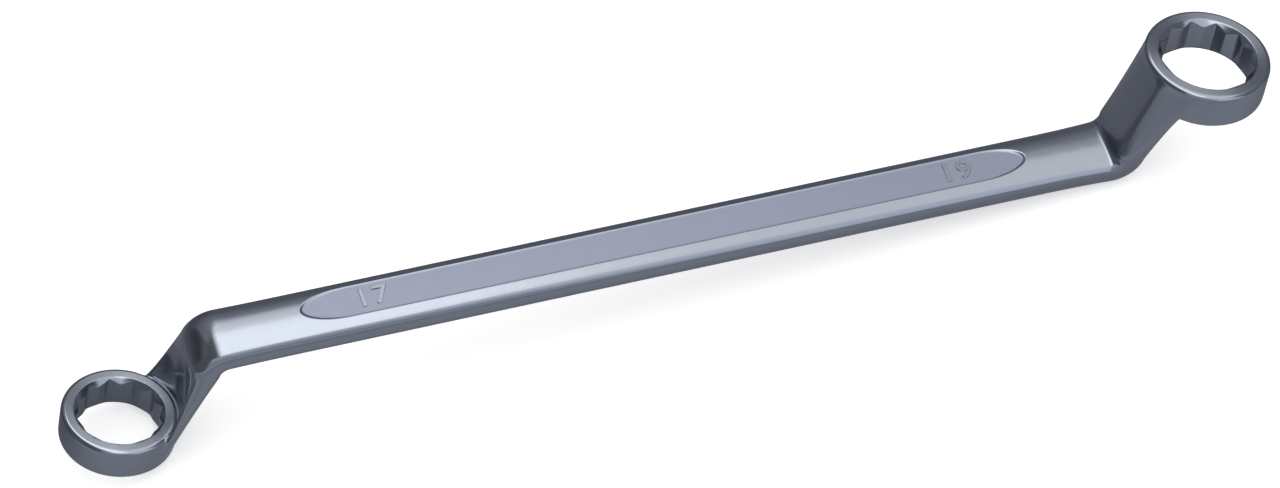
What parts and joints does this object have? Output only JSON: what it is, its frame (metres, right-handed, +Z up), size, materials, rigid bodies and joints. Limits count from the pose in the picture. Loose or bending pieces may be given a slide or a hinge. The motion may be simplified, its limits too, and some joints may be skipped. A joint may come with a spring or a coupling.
{
  "type": "ring spanner",
  "caption": "Double-ended deep offset ring spanner: a slim shank cranked opposite ways into two rings with twelve-point sockets, lying on a bench.",
  "frame": {"origin": "on the bench, under the centre of the tool's bounding box", "axes": "+Z up from the bench the tool lies on, +X along the tool towards the 19 mm ring, +Y across it"},
  "size_m": [0.2808, 0.0286, 0.029],
  "materials": {
    "chrome_plate": "satin chrome plate over a fine forged surface, brighter where the rings' faces are ground"
  },
  "bodies": {
    "root": {"ring_19": "chrome_plate", "ring_17": "chrome_plate", "neck_19": "chrome_plate", "neck_17": "chrome_plate", "shank": "chrome_plate"}
  },
  "joints": []
}
